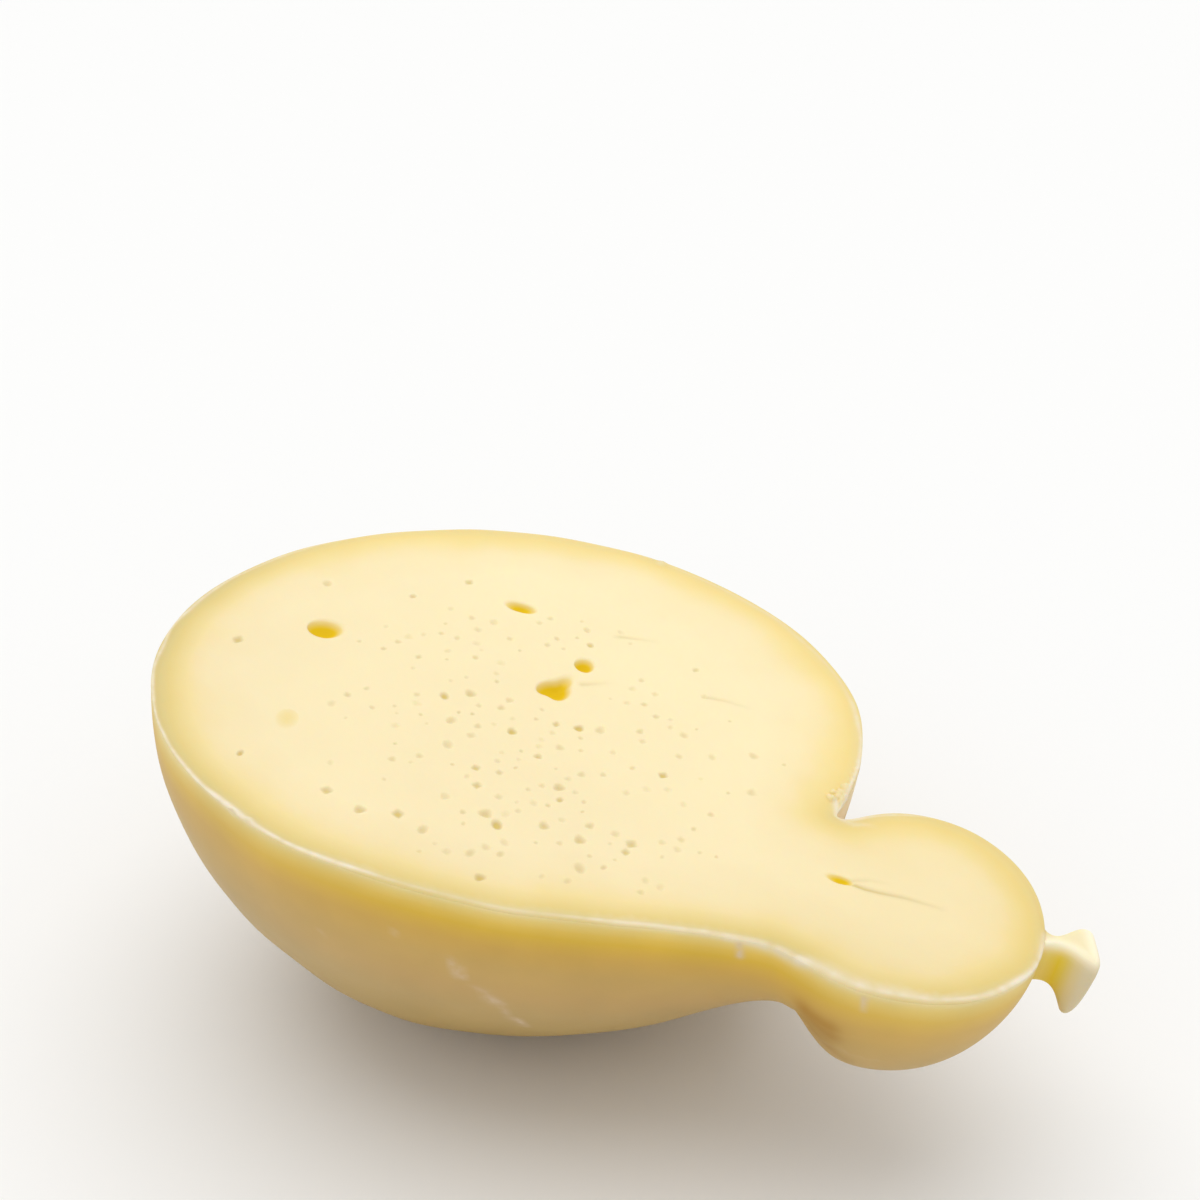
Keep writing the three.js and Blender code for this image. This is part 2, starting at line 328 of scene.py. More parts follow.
# Room kept round the middle of an older hole, over that hole's length or the widest prick's width.
HOLE_CLEARANCE = 0.75
PRICK_CLEARANCE = 0.6
TEARS = [
    dict(
        line=[(169.2, -3.7), (172.2, -3.1), (175.2, -1.9), (179.9, 0.4), (186.6, 2.6)],
        depth=0.25, width=0.6, tint=0.9,
    ),
    dict(line=[(168.8, -2.9), (171.3, 0), (174.4, 1.8)], depth=0.1, width=0.6, tint=0.35),
    dict(line=[(81.4, 38.6), (84.5, 40.6), (87.5, 42.6)], depth=0.15, width=0.6, tint=0.5),
    dict(line=[(86.6, 14.9), (88.3, 17.0), (90.4, 19.8)], depth=0.15, width=0.8, tint=0.45),
    dict(line=[(109.8, 31.9), (114.0, 34.0), (118.9, 35.5)], depth=0.15, width=0.6, tint=0.5),
]
FOLD = dict(
    line=[(152.9, 18.6), (155.1, 15.1), (157.2, 14.3), (159.5, 14.6), (162.3, 16.7)],
    depth=-0.35, width=0.75,
)
TEAR_STEP = 0.5
TEAR_THINNING = 0.8
TEAR_OFFSETS = np.array([-2.2, -1.1, -0.5, 0, 0.5, 1.1, 2.2])
CRUMBS = [
    (150.5, 21.7), (151.7, 22.8), (153.4, 20.6), (152.4, 26.6), (151.2, 30.6), (152.1, 19.3), (151.1, 19.2),
    (152.9, 24.3), (152.2, 20.9), (153.9, 19.2), (153.2, 22.2), (151.9, 28.2), (151.6, 25.3), (150.6, 32.6),
    (149.8, 34.6), (68.8, 75.2), (62.5, -75.6), (67.6, -75.6),
]
CRUMB_WIDTHS = (1.3, 2.4)
FACE_STEP = 1.6
FACE_HALF_WIDTH = 80
RIM_CLEARANCE = 0.9
RING_CLEARANCE = 1.1
TEAR_CLEARANCE = 1.5
KEEP_INSIDE = 1
WELD = 1e-6
CHUNK = 4000


def nearest_edge(points):
    """For each point, its distance in the cut plane to the edge's nearest point, and that one's number."""
    distances = []
    numbers = []
    for part in np.array_split(points[:, :2], len(points) // CHUNK + 1):
        apart = np.hypot(part[:, :1] - edge[:, 0], part[:, 1:] - edge[:, 1])
        numbers.append(apart.argmin(1))
        distances.append(apart.min(1))
    return np.concatenate(distances), np.concatenate(numbers)


def in_outline(points):
    """Whether points of the cut plane lie between the smooth and the creased edge."""
    off = points[:, 1] - middle(points[:, 0])
    return (off < reach(CREASED, points[:, 0])) & (off > -reach(SMOOTH, points[:, 0]))


def polar(hollow, points):
    """Polar coordinates in a hollow's own oval: the share of the way to its outline, and the angle from +x.

    The outline is an ellipse whose radius swells by bluntness times the cosine of its corners.
    """
    turn = math.radians(hollow["turn"])
    off = points[..., :2] - np.array(hollow["at"])
    u = (off[..., 0] * math.cos(turn) + off[..., 1] * math.sin(turn)) / (hollow["length"] / 2)
    v = (off[..., 1] * math.cos(turn) - off[..., 0] * math.sin(turn)) / (hollow["width"] / 2)
    own_angle = np.arctan2(v, u)
    outline = 1 + hollow["bluntness"] * np.cos(hollow["corners"] * own_angle)
    return np.hypot(u, v) / outline, np.arctan2(off[..., 1], off[..., 0])


def rings(hollow, shares, spokes):
    """Points on a hollow's outline, shrunk to each share of it, in the cut plane."""
    own_angle = np.linspace(0, 2 * np.pi, spokes, endpoint=False)
    outline = 1 + hollow["bluntness"] * np.cos(hollow["corners"] * own_angle)
    shares = np.array([share for share in shares if share > 0])[:, None]
    u = hollow["length"] / 2 * shares * outline * np.cos(own_angle)
    v = hollow["width"] / 2 * shares * outline * np.sin(own_angle)
    turn = math.radians(hollow["turn"])
    x = hollow["at"][0] + u * math.cos(turn) - v * math.sin(turn)
    y = hollow["at"][1] + u * math.sin(turn) + v * math.cos(turn)
    return np.vstack([np.stack([x, y], -1).reshape(-1, 2), hollow["at"]])


def bowl(hollow, points, steep, gentle):
    """The share of a hollow's depth at each point: 1 - share^2 to a power.

    The power goes from the steep one to the gentle one with the cosine of the angle from the slope.
    """
    share, angle = polar(hollow, points)
    towards_slope = 0.5 + 0.5 * np.cos(angle - math.radians(hollow["slope"]))
    return np.maximum(1 - share**2, 0) ** (steep + (gentle - steep) * towards_slope)


def line_points(line, step):
    """Points a step apart along a line of stops."""
    stops = np.array(line, float)
    walked = np.append(0, np.cumsum(np.hypot(*np.diff(stops, axis=0).T)))
    places = np.linspace(0, walked[-1], int(walked[-1] / step) + 2)
    return np.stack([np.interp(places, walked, stops[:, 0]), np.interp(places, walked, stops[:, 1])], -1)


def torn(tear, points):
    """The share of a tear's depth at each point: a bell across the line, thinning out towards its far end."""
    line = line_points(tear["line"], TEAR_STEP)
    apart = np.hypot(points[:, :1] - line[:, 0], points[:, 1:2] - line[:, 1])
    left = 1 - TEAR_THINNING * apart.argmin(1) / len(line)
    return left * np.exp(-((apart.min(1) / tear["width"]) ** 2))


def small_hollows(places, widths, seed, steepness, tint, bluntness):
    """Round hollows of seeded size, turn, slope, corners and tint at the places, deeper where wider."""
    draw = np.random.default_rng(seed)
    hollows = []
    for place in places:
        width = draw.uniform(*widths)
        hollows.append(
            dict(
                at=tuple(place), length=width * draw.uniform(*SMALL_LENGTHS), width=width,
                turn=draw.uniform(*SMALL_TURNS), depth=width * steepness, slope=draw.uniform(*SMALL_SLOPES),
                corners=int(draw.integers(*SMALL_CORNERS)), bluntness=bluntness,
                tint=tint * draw.uniform(*SMALL_TINTS),
            )
        )
    return hollows


def scattered(count, taken, seed):
    """Seeded places in a bell about the body's middle or beside an earlier one.

    All lie in the bell's limit, clear of the rim and of each other.
    """
    draw = np.random.default_rng(seed)
    places = [hollow["at"] for hollow in taken]
    clear = [hollow["length"] * HOLE_CLEARANCE for hollow in taken]
    wanted = len(places) + count
    while len(places) < wanted:
        place = draw.normal(PRICKS_AT, PRICKS_SPREAD)[None]
        if draw.random() < CLUSTERED:
            place = draw.normal(places[draw.integers(len(places))], CLUSTER_SPREAD)[None]
        free = np.hypot(*(np.array(places) - place).T) - clear
        in_bell = np.hypot(*((place - PRICKS_AT) / PRICKS_SPREAD)[0]) < PRICKS_LIMIT
        in_face = in_outline(place)[0] and nearest_edge(place)[0][0] > PRICKS_FROM_EDGE
        if in_bell and in_face and free.min() > PRICK_WIDTHS[0]:
            places.append(tuple(place[0]))
            clear.append(PRICK_WIDTHS[1] * PRICK_CLEARANCE)
    return places[-count:]


def away_from(points, line):
    """The distance of each point of the cut plane from the nearest point of a line."""
    return np.hypot(points[:, :1] - line[:, 0], points[:, 1:] - line[:, 1]).min(1)


pinholes = small_hollows(
    LARGE_PINHOLES, LARGE_PINHOLE_WIDTHS, seed=20, steepness=0.2, tint=1.0, bluntness=0.12
)
pinholes += small_hollows(PINHOLES, PINHOLE_WIDTHS, seed=21, steepness=0.16, tint=0.75, bluntness=0.12)
pinholes += [DARK_PINHOLE, SHALLOW_EYE]
prick_places = scattered(PRICKS, EYES + pinholes, seed=22)
pricks = small_hollows(prick_places, PRICK_WIDTHS, seed=23, steepness=0.1, tint=0.45, bluntness=0.12)
crumbs = small_hollows(CRUMBS, CRUMB_WIDTHS, seed=24, steepness=-0.3, tint=0, bluntness=0.2)
tear_lines = [line_points(tear["line"], TEAR_STEP) for tear in TEARS + [FOLD]]
tear_rows = []
for tear, line in zip(TEARS + [FOLD], tear_lines):
    heading = np.gradient(line, axis=0)
    sideways = np.stack([-heading[:, 1], heading[:, 0]], -1) / np.linalg.norm(heading, axis=1)[:, None]
    rows = line[:, None] + sideways[:, None] * TEAR_OFFSETS[:, None] * tear["width"]
    tear_rows.append(rows.reshape(-1, 2))

for crumb in crumbs:
    lip_loops[1:, :, 2] -= crumb["depth"] * bowl(crumb, lip_loops[1:], *CRUMB_WALLS)
inner_loop = lip_loops[-1]
rows_x = np.arange(0, CROWN_END, FACE_STEP)
rows_y = np.arange(-FACE_HALF_WIDTH, FACE_HALF_WIDTH, FACE_STEP * math.sqrt(3) / 2)
field = np.stack(np.meshgrid(rows_x, rows_y), -1)
field[1::2, :, 0] += FACE_STEP / 2
field = field.reshape(-1, 2)
field = field[in_outline(field)]
field = field[nearest_edge(field)[0] > LIP_INSETS[-1] + RIM_CLEARANCE]
for hollow in EYES + pinholes + pricks + crumbs:
    outer_ring = (EYE_RINGS if hollow in EYES else PINHOLE_RINGS)[0]
    field = field[polar(hollow, field)[0] > RING_CLEARANCE * outer_ring]
for line in tear_lines:
    field = field[away_from(field, line) > TEAR_CLEARANCE]

ringed = [rings(eye, EYE_RINGS, EYE_SPOKES) for eye in EYES]
ringed += [rings(hole, PINHOLE_RINGS, PINHOLE_SPOKES) for hole in pinholes + crumbs]
ringed += [rings(prick, PRICK_RINGS, PRICK_SPOKES) for prick in pricks]
ringed = np.vstack(ringed + tear_rows)
ringed = ringed[in_outline(ringed) & (nearest_edge(ringed)[0] > LIP_INSETS[-1] + RIM_CLEARANCE / 2)]
flat = np.vstack([inner_loop[:, :2], field, ringed])
loop_size = len(inner_loop)
loop_edges = [(i, (i + 1) % loop_size) for i in range(loop_size)]
corners, _, triangles, origins, _, _ = delaunay_2d_cdt(
    [Vector(place) for place in flat.tolist()], loop_edges, [], KEEP_INSIDE, WELD
)
face_flat = np.array([corner[:] for corner in corners])
face_height = np.zeros(len(face_flat))
for hollows, walls in ((EYES, EYE_WALLS), (pinholes + pricks, PIT_WALLS), (crumbs, CRUMB_WALLS)):
    for hollow in hollows:
        face_height -= hollow["depth"] * bowl(hollow, face_flat, *walls)
for tear in TEARS + [FOLD]:
    face_height -= tear["depth"] * torn(tear, face_flat)
face_points = np.column_stack([face_flat, face_height])

# The body as one mesh
# Rind, lip and cut face are one closed skin: the grid of sections, the lip's loops and the face's triangles.
PASTE_SLOT = 0
RIND_SLOT = 1


def quads(numbers):
    """The corners of each cell of a grid of point numbers, facing outwards."""
    cells = np.stack([numbers[1:, :-1], numbers[1:, 1:], numbers[:-1, 1:], numbers[:-1, :-1]], -1)
    return cells.reshape(-1, 4)


def fan(hub, row):
    """A triangle from the hub to each step of a row of point numbers."""
    return np.stack([np.full(len(row) - 1, hub), row[:-1], row[1:]], -1)


def closed(loops):
    """Loops of point numbers with their first number repeated at the end."""
    return np.concatenate([loops, loops[:, :1]], axis=1)


def mesh_object(name, points, faces, materials):
    """An object with a smooth-shaded mesh in metres, from points in millimetres and (faces, slot) pairs."""
    mesh = bpy.data.meshes.new(name)
    mesh.from_pydata((points / 1000).tolist(), [], [face for part, _ in faces for face in part.tolist()])
    slots = np.concatenate([np.full(len(part), slot) for part, slot in faces])
    mesh.polygons.foreach_set("material_index", slots)
    mesh.polygons.foreach_set("use_smooth", np.ones(len(mesh.polygons), bool))
    for material in materials:
        mesh.materials.append(material)
    made = bpy.data.objects.new(name, mesh)
    bpy.context.scene.collection.objects.link(made)
    return made


paste = bpy.data.materials.new("cut_stretched_curd")
waxy_rind = bpy.data.materials.new("waxy_natural_rind")

ring_rows = RIND_STATIONS - 2
rind_numbers = np.arange(ring_rows * RIND_COLUMNS).reshape(ring_rows, RIND_COLUMNS)
blunt = rind_numbers.size
crown = blunt + 1
edge_numbers = np.concatenate([[blunt], rind_numbers[:, 0], [crown], rind_numbers[::-1, -1]])
loop_numbers = crown + 1 + np.arange((len(LIP_INSETS) - 1) * loop_size).reshape(-1, loop_size)
first_in_face = loop_numbers[-1, -1] + 1
origin = np.array([sources[0] for sources in origins])
on_loop = origin < loop_size
face_numbers = np.where(on_loop, loop_numbers[-1, np.minimum(origin, loop_size - 1)], 0)
face_numbers[~on_loop] = first_in_face + np.arange((~on_loop).sum())
rind_points = np.concatenate([rind[1:-1].reshape(-1, 3), rind[:1, 0], rind[-1:, 0]])
body_points = np.concatenate([rind_points, lip_loops[1:].reshape(-1, 3), face_points[~on_loop]])
body_faces = [
    (quads(rind_numbers), RIND_SLOT),
    (fan(blunt, rind_numbers[0]), RIND_SLOT),
    (fan(crown, rind_numbers[-1, ::-1]), RIND_SLOT),
    (quads(closed(np.vstack([edge_numbers, loop_numbers]))), PASTE_SLOT),
    (face_numbers[np.array(triangles)], PASTE_SLOT),
]
body = mesh_object("caciocavallo_half", body_points, body_faces, [paste, waxy_rind])

# The nub
# The end of the curd where it was twisted shut: a thin stalk that spreads into the crown at its root and
# flares to three corners and a rounded end. It is cut in half with the rest, so its top is a facet of paste.
# Each rail ends at a corner.
NUB_TOP = -0.2
NUB_NEAR = [(206, 3.4, NUB_TOP), (209.4, 14.1, NUB_TOP), (214.4, 11, NUB_TOP), (219, 11, NUB_TOP)]
NUB_FAR = [(204.4, 15.6, NUB_TOP), (211.3, 7, NUB_TOP), (209.4, 20, NUB_TOP), (212.9, 20.3, NUB_TOP)]
NUB_KEEL = [(203.4, 9, -14.1), (211.5, 9, -6), (212.6, 9, -9.8), (215.1, 9, -14.3)]
NUB_SQUARENESS = 0.88
NUB_BULGE = 2.2
NUB_END_ROUNDNESS = 2.6
NUB_CROWN = 0.25
NUB_STEPS = 48
NUB_UNDER_STEPS = 44
NUB_TOP_STEPS = 14
NUB_END_RINGS = np.array([0.995, 0.98, 0.955, 0.92, 0.87, 0.8, 0.7, 0.57, 0.42, 0.27, 0.12])
NUB_SOFTENING = 4


def rail(stops, t):
    """A cubic Bezier curve through its first and last stop."""
    a, b, c, d = np.array(stops, float)
    t = t[:, None]
    return a * (1 - t) ** 3 + 3 * b * t * (1 - t) ** 2 + 3 * c * t**2 * (1 - t) + d * t**3


def squared(value):
    """A sine or cosine pushed outwards, so that the section is squarer than an ellipse."""
    return np.sign(value) * np.abs(value) ** NUB_SQUARENESS


def nub_sections():
    """Squared half ellipses hung between the far and near rails to the keel rail, closed by a crowned top."""
    t = np.linspace(0, 1, NUB_STEPS)
    far, near, keel = (rail(stops, t)[:, None] for stops in (NUB_FAR, NUB_NEAR, NUB_KEEL))
    top = (far + near) / 2
    turn = np.linspace(0, np.pi, NUB_UNDER_STEPS)[:, None]
    under = top + (far - top) * squared(np.cos(turn)) + (keel - top) * squared(np.abs(np.sin(turn)))
    across = np.linspace(-1, 1, NUB_TOP_STEPS + 2)[1:-1, None]
    over = top + (far - top) * across
    over[..., 2] += NUB_CROWN * t[:, None] * (1 - across[:, 0] ** 2)
    return np.concatenate([under, over], axis=1)


def softened(loops, passes):
    """Corners rounded: each point goes half way to its neighbours' middle, round its loop and then along."""
    for _ in range(passes):
        loops = (2 * loops + np.roll(loops, 1, axis=1) + np.roll(loops, -1, axis=1)) / 4
        loops[1:-1] = (2 * loops[1:-1] + loops[:-2] + loops[2:]) / 4
    return loops


nub = nub_sections()
foot = nub[0].mean(0)
hub = nub[-1].mean(0)
outwards = (hub - foot) / np.linalg.norm(hub - foot)
end_rise = NUB_BULGE * arc(NUB_END_RINGS, NUB_END_ROUNDNESS)
end = hub + (nub[-1] - hub) * NUB_END_RINGS[:, None, None] + outwards * end_rise[:, None, None]
nub = softened(np.concatenate([nub, end]), NUB_SOFTENING)
nub_numbers = closed(np.arange(nub.shape[0] * nub.shape[1]).reshape(nub.shape[:2]))
foot_number = nub_numbers.max() + 1
nub_points = np.concatenate([nub.reshape(-1, 3), [foot, hub + outwards * NUB_BULGE]])
nub_cells = quads(nub_numbers).reshape(len(nub) - 1, -1, 4)
facet = np.arange(nub_cells.shape[1]) >= NUB_UNDER_STEPS - 1
nub_faces = [
    (nub_cells[: NUB_STEPS - 1, ~facet].reshape(-1, 4), RIND_SLOT),
    (nub_cells[: NUB_STEPS - 1, facet].reshape(-1, 4), PASTE_SLOT),
    (nub_cells[NUB_STEPS - 1 :].reshape(-1, 4), RIND_SLOT),
    (fan(foot_number, nub_numbers[0]), RIND_SLOT),
    (fan(foot_number + 1, nub_numbers[-1, ::-1]), RIND_SLOT),
]
stalk = mesh_object("nub", nub_points, nub_faces, [paste, waxy_rind])

union = body.modifiers.new("nub_joined", "BOOLEAN")
union.operation = "UNION"
union.solver = "MANIFOLD"
union.object = stalk
whole = bpy.data.meshes.new_from_object(body.evaluated_get(bpy.context.evaluated_depsgraph_get()))
body.modifiers.clear()
body.data = whole
bpy.data.objects.remove(stalk)

# What the finishes follow
# The colour of a cheese runs with the distance from its dried rim, so the mesh carries that distance, the
# depth under the cut, the paleness of the lip, the holes, the nub and the marks, worked out from where its
# points are.
SCUFFS = [
    dict(line=[(112.4, -64.8, -15.5), (113.2, -64.2, -17.0)], width=0.6, strength=0.5),
    dict(line=[(113.9, -63.6, -18.0), (114.1, -62.4, -21.5)], width=0.8, strength=1.6),
    dict(line=[(116.9, -59.9, -24.5), (118.8, -57.7, -27.3)], width=0.8, strength=0.4),
    dict(line=[(118.8, -57.7, -27.3), (120.3, -55.8, -29.6)], width=1.6, strength=0.6),
    dict(line=[(120.6, -54.6, -31.4), (121.4, -52.0, -34.8)], width=0.6, strength=0.4),
    dict(line=[(121.9, -50.6, -36.6), (122.2, -48.0, -39.9)], width=1.0, strength=0.9),
    dict(line=[(86.0, -72.4, -20.0), (86.6, -72.0, -21.6)], width=0.5, strength=0.5),
    dict(line=[(101.7, -69.9, -12.2), (102.6, -69.4, -13.6)], width=0.5, strength=0.4),
    dict(line=[(161.4, -35.6, -1.2), (161.7, -34.8, -4.2)], width=0.9, strength=0.8),
    dict(line=[(187.9, -31.4, -1.2), (188.0, -31.0, -4.4)], width=0.7, strength=0.8),
]
# Painted shade: dark brown in the crease under the head's cheek, where the neck shades the rind.
CREASE_SHADES = [
    dict(line=[(176.5, -30.6, -12.4), (179.4, -30.6, -13), (181.8, -30.5, -13.4)], width=2.9, strength=0.9),
    dict(line=[(176.8, -30.3, -13.2), (179.4, -29.9, -14.8), (182, -29.6, -16)], width=3.0, strength=0.85),
    dict(line=[(177.2, -29.8, -14.2), (179, -29.2, -16.2), (181, -28.6, -17.6)], width=3.0, strength=0.65),
    dict(line=[(176.6, -29.4, -15), (178.7, -28.2, -18.3), (181.6, -26.9, -21.2)], width=2.6, strength=0.65),
    dict(line=[(181.6, -26.9, -21.2), (183.1, -25.6, -23), (185, -24, -24.8)], width=2.4, strength=0.35),
]
NOTCH = [
    dict(line=[(150.6, 31, -3), (152.6, 24, -4), (154.2, 17, -4), (160, 14.6, -4)], width=5, strength=0.95),
]
MARK_REACH = 30
MARK_POINTS = 40
TEAR_REACH = 15
FOLD_REACH = 8
FOLD_PALE = 0.85
CRUMB_PALE = 0.4
CRUMB_DEPTH = 1
CUT_DEPTH = 0.05
LIP_REACH = 5
LEAST_PALE_WIDTH = 0.2
NUB_FROM = 206
NUB_LENGTH = 11.5
RIDGE_FROM = 0.15
RIDGE_STOPS = 8
RIDGE_POINTS = 120
RIDGE_WIDTH = 1.6
SAME_POINT = 0.01
# Spans of -y and of x over which painted shade darkens the paste towards the smooth side and over the head,
# and stops (x, value) for how amber the rind is; where it is less amber, the paler skin is painted sheen.
SMOOTH_SIDE_SHADE = (-30, 20)
HEAD_SHADE_FROM = (150, 175)
AMBER = [(55, 0), (105, 1), (170, 1), (184, 0.5), (206, 0)]


def coordinates(mesh):
    """The mesh's points in millimetres, as one array."""
    flat_list = np.zeros(len(mesh.vertices) * 3)
    mesh.vertices.foreach_get("co", flat_list)
    return flat_list.reshape(-1, 3) * 1000


def along_line(points, stops, count):
    """The distance of each point from a line of stops in space, taken at a count of places along it."""
    share = np.linspace(0, len(stops) - 1, count)
    line = np.stack([np.interp(share, range(len(stops)), axis) for axis in np.transpose(stops)], -1)
    return np.linalg.norm(points[:, None] - line, axis=-1).min(1)


def marked(points, marks):
    """A mark's strength on its line, falling off as a bell across it, and the strongest of several marks."""
    most = np.zeros(len(points))
    for mark in marks:
        near = np.flatnonzero(np.linalg.norm(points - mark["line"][0], axis=1) < MARK_REACH)
        bell = np.exp(-((along_line(points[near], mark["line"], MARK_POINTS) / mark["width"]) ** 2))
        most[near] = np.maximum(most[near], mark["strength"] * bell)
    return most


def hollowness(points, hollows, walls):
    """How far inside a hole each point of the cut lies: 0 at its rim, and the hole's tint at its bottom."""
    most = np.zeros(len(points))
    for hollow in hollows:
        near = np.flatnonzero(np.abs(points[:, :2] - hollow["at"]).max(1) < hollow["length"])
        most[near] = np.maximum(most[near], hollow["tint"] * bowl(hollow, points[near], *walls))
    return most


def tornness(points):
    """How far inside a hairline tear each point of the cut lies, up to the tear's tint."""
    most = np.zeros(len(points))
    for tear in TEARS:
        near = np.flatnonzero(np.abs(points[:, :2] - np.mean(tear["line"], axis=0)).max(1) < TEAR_REACH)
        most[near] = np.maximum(most[near], tear["tint"] * torn(tear, points[near]))
    return most


def of_nub(points):
    """Whether each point of the joined skin is one of the nub's own points."""
    nub_tree = KDTree(len(nub_points))
    for number, point in enumerate(nub_points):
        nub_tree.insert(point, number)
    nub_tree.balance()
    near = points[:, 0] > NUB_FROM
    found = np.zeros(len(points), bool)
    found[near] = [nub_tree.find(point)[2] < SAME_POINT for point in points[near]]
    return found


cut_places = coordinates(whole)
rim, edge_number = nearest_edge(cut_places)
below = np.maximum(-cut_places[:, 2], 0)
on_nub = np.clip((cut_places[:, 0] - NUB_FROM) / NUB_LENGTH, 0, 1) * of_nub(cut_places)
pale_width = np.maximum(lip_width, LEAST_PALE_WIDTH)[edge_number]
inwards = np.where((below < CUT_DEPTH) | (rim > LIP_REACH), rim, -below)
pale = lip_pale[edge_number] * np.exp(-(((inwards - lip_palest[edge_number]) / pale_width) ** 2))
for crumb in crumbs:
    pale = np.maximum(pale, CRUMB_PALE * bowl(crumb, cut_places, *CRUMB_WALLS) * (below < CRUMB_DEPTH))
by_fold = np.abs(cut_places[:, :2] - FOLD["line"][2]).max(1) < FOLD_REACH
near_fold = np.flatnonzero(by_fold & (below < CUT_DEPTH))
pale[near_fold] = np.maximum(pale[near_fold], FOLD_PALE * torn(FOLD, cut_places[near_fold]))
near_nub = np.flatnonzero(on_nub > 0)
ridge = np.vstack([rail(NUB_NEAR, np.linspace(RIDGE_FROM, 1, RIDGE_STOPS)), NUB_FAR[-1]])
from_ridge = along_line(cut_places[near_nub], ridge, RIDGE_POINTS)
pale[near_nub] = np.exp(-((from_ridge / RIDGE_WIDTH) ** 2))
shallow = SHALLOW_TINT * bowl(SHALLOW_EYE, cut_places, *SHALLOW_PAINTED_LIGHT)
for name, values in dict(
    rim=rim, below=below, pale=pale, nub=on_nub,
    hollow=np.maximum(hollowness(cut_places, EYES, EYE_PAINTED_LIGHT), shallow),
    pit=np.maximum(hollowness(cut_places, pinholes + pricks, PIT_WALLS), tornness(cut_places)),
    # Painted shade: the paste darkens towards the smooth side.
    smooth_side_shade=np.interp(-cut_places[:, 1], SMOOTH_SIDE_SHADE, (0, 1)),
    # Painted shade: the paste darkens over the head.
    head=np.interp(cut_places[:, 0], HEAD_SHADE_FROM, (0, 1)),
    amber=np.interp(cut_places[:, 0], *np.transpose(AMBER)),
    scuff=marked(cut_places, SCUFFS), crease=marked(cut_places, CREASE_SHADES), notch=marked(cut_places, NOTCH),
).items():
    whole.attributes.new(name, "FLOAT", "POINT").data.foreach_set("value", values.astype(np.float32))

# Laid down
# At rest the cheese has rolled on to its keel with the head low, and its weight has flattened a small spot.
HEAD_DOWN = math.radians(7.8)
CREASED_SIDE_DOWN = math.radians(2.4)
FLAT_SPOT_DEPTH = 1.6
FLAT_SPOT_ROUNDING = 0.8


def turned(points):
    """The cut's frame turned to the table's: rolled about x, then the head dipped about y."""
    roll_cos, roll_sin = math.cos(-CREASED_SIDE_DOWN), math.sin(-CREASED_SIDE_DOWN)
    dip_cos, dip_sin = math.cos(HEAD_DOWN), math.sin(HEAD_DOWN)
    roll = np.array([[1, 0, 0], [0, roll_cos, -roll_sin], [0, roll_sin, roll_cos]])
    dip = np.array([[dip_cos, 0, dip_sin], [0, 1, 0], [-dip_sin, 0, dip_cos]])
    return points @ (dip @ roll).T


outer = turned(np.concatenate([smooth_rind.reshape(-1, 3), nub_points]))
lowest, highest = outer.min(0), outer.max(0)
onto_table = np.append(-(lowest + highest)[:2] / 2, -lowest[2] - FLAT_SPOT_DEPTH)
places = turned(cut_places) + onto_table
places[:, 2] = soft_max(places[:, 2], 0, FLAT_SPOT_ROUNDING)
whole.vertices.foreach_set("co", (places / 1000).ravel())
whole.update()

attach(body, "root")
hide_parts("cheese_half")

# The paste's finish
# Cut stretched curd is a close, slightly moist paste: matt cream, a little translucent and yellower in its
# dried rim. Deep yellow inside its holes is painted light that bounces from paste to paste, and painted shade
# darkens the pinholes, the smooth side, that side's rim and the head.
NOISE_SPAN = (0.3, 0.7)
RIM_BAND = 22
RIM_WANDER = (0.8 / RIM_BAND, 1.2 / RIM_BAND)
RIM_SHADE_SPAN = (1, 8)
PASTE_CLOUDS = (0.995, 1.025)
TRANSLUCENCE = (0.3, 0)
# Spans of a value that the mesh carries, over which a finish comes in or goes.
TRANSLUCENCE_OVER = (0.1, 0.6)
PAINTED_LIGHT_OVER = (0, 0.25)
FACET_OVER = (0, 0.3)
RIDGED_OVER = (0, 0.1)


def linear(hex_colour):
    """An sRGB hex colour as linear red, green, blue and alpha."""
    parts = np.array([int(hex_colour[i : i + 2], 16) / 255 for i in (1, 3, 5)])
    bright = np.where(parts <= 0.04045, parts / 12.92, ((parts + 0.055) / 1.055) ** 2.4)
    return (*bright, 1)


def add(tree, kind, inputs=None, stops=None, **settings):
    """Adds a node with its own settings, and inputs that are linked if they are sockets and set if values.

    stops are (place, colour) pairs for a colour ramp.
    """
    made = tree.nodes.new(kind)
    for name, value in settings.items():
        setattr(made, name, value)
    for name, value in (inputs or {}).items():
        if isinstance(value, bpy.types.NodeSocket):
            tree.links.new(value, made.inputs[name])
        else:
            made.inputs[name].default_value = value
    if stops:
        elements = made.color_ramp.elements
        while len(elements) < len(stops):
            elements.new(1)
        for element, (place, colour) in zip(elements, stops):
            element.position = place
            element.color = linear(colour)
    return made


def fresh_tree(material):
    """A material's own node tree, emptied."""
    material.use_nodes = True
    material.node_tree.nodes.clear()
    return material.node_tree


def carried(tree, name):
    """The value that the mesh carries under a name."""
    return add(tree, "ShaderNodeAttribute", attribute_name=name).outputs["Fac"]


def ramp(tree, value, stops):
    """A colour read off stops (place, hex colour) by a value."""
    return add(tree, "ShaderNodeValToRGB", {"Fac": value}, stops).outputs["Color"]


def mixed(tree, share, first, second, blend_type="MIX"):
    """A colour that goes from the first to the second with the share."""
    sockets = {0: share, 6: first, 7: second}
    return add(tree, "ShaderNodeMix", sockets, data_type="RGBA", blend_type=blend_type).outputs[2]


def spread(tree, value, least, most, from_least=0, from_most=1):
    """A value stretched from one span to another, held at its ends."""
    span = {"Value": value, "From Min": from_least, "From Max": from_most, "To Min": least, "To Max": most}
    return add(tree, "ShaderNodeMapRange", span).outputs["Result"]


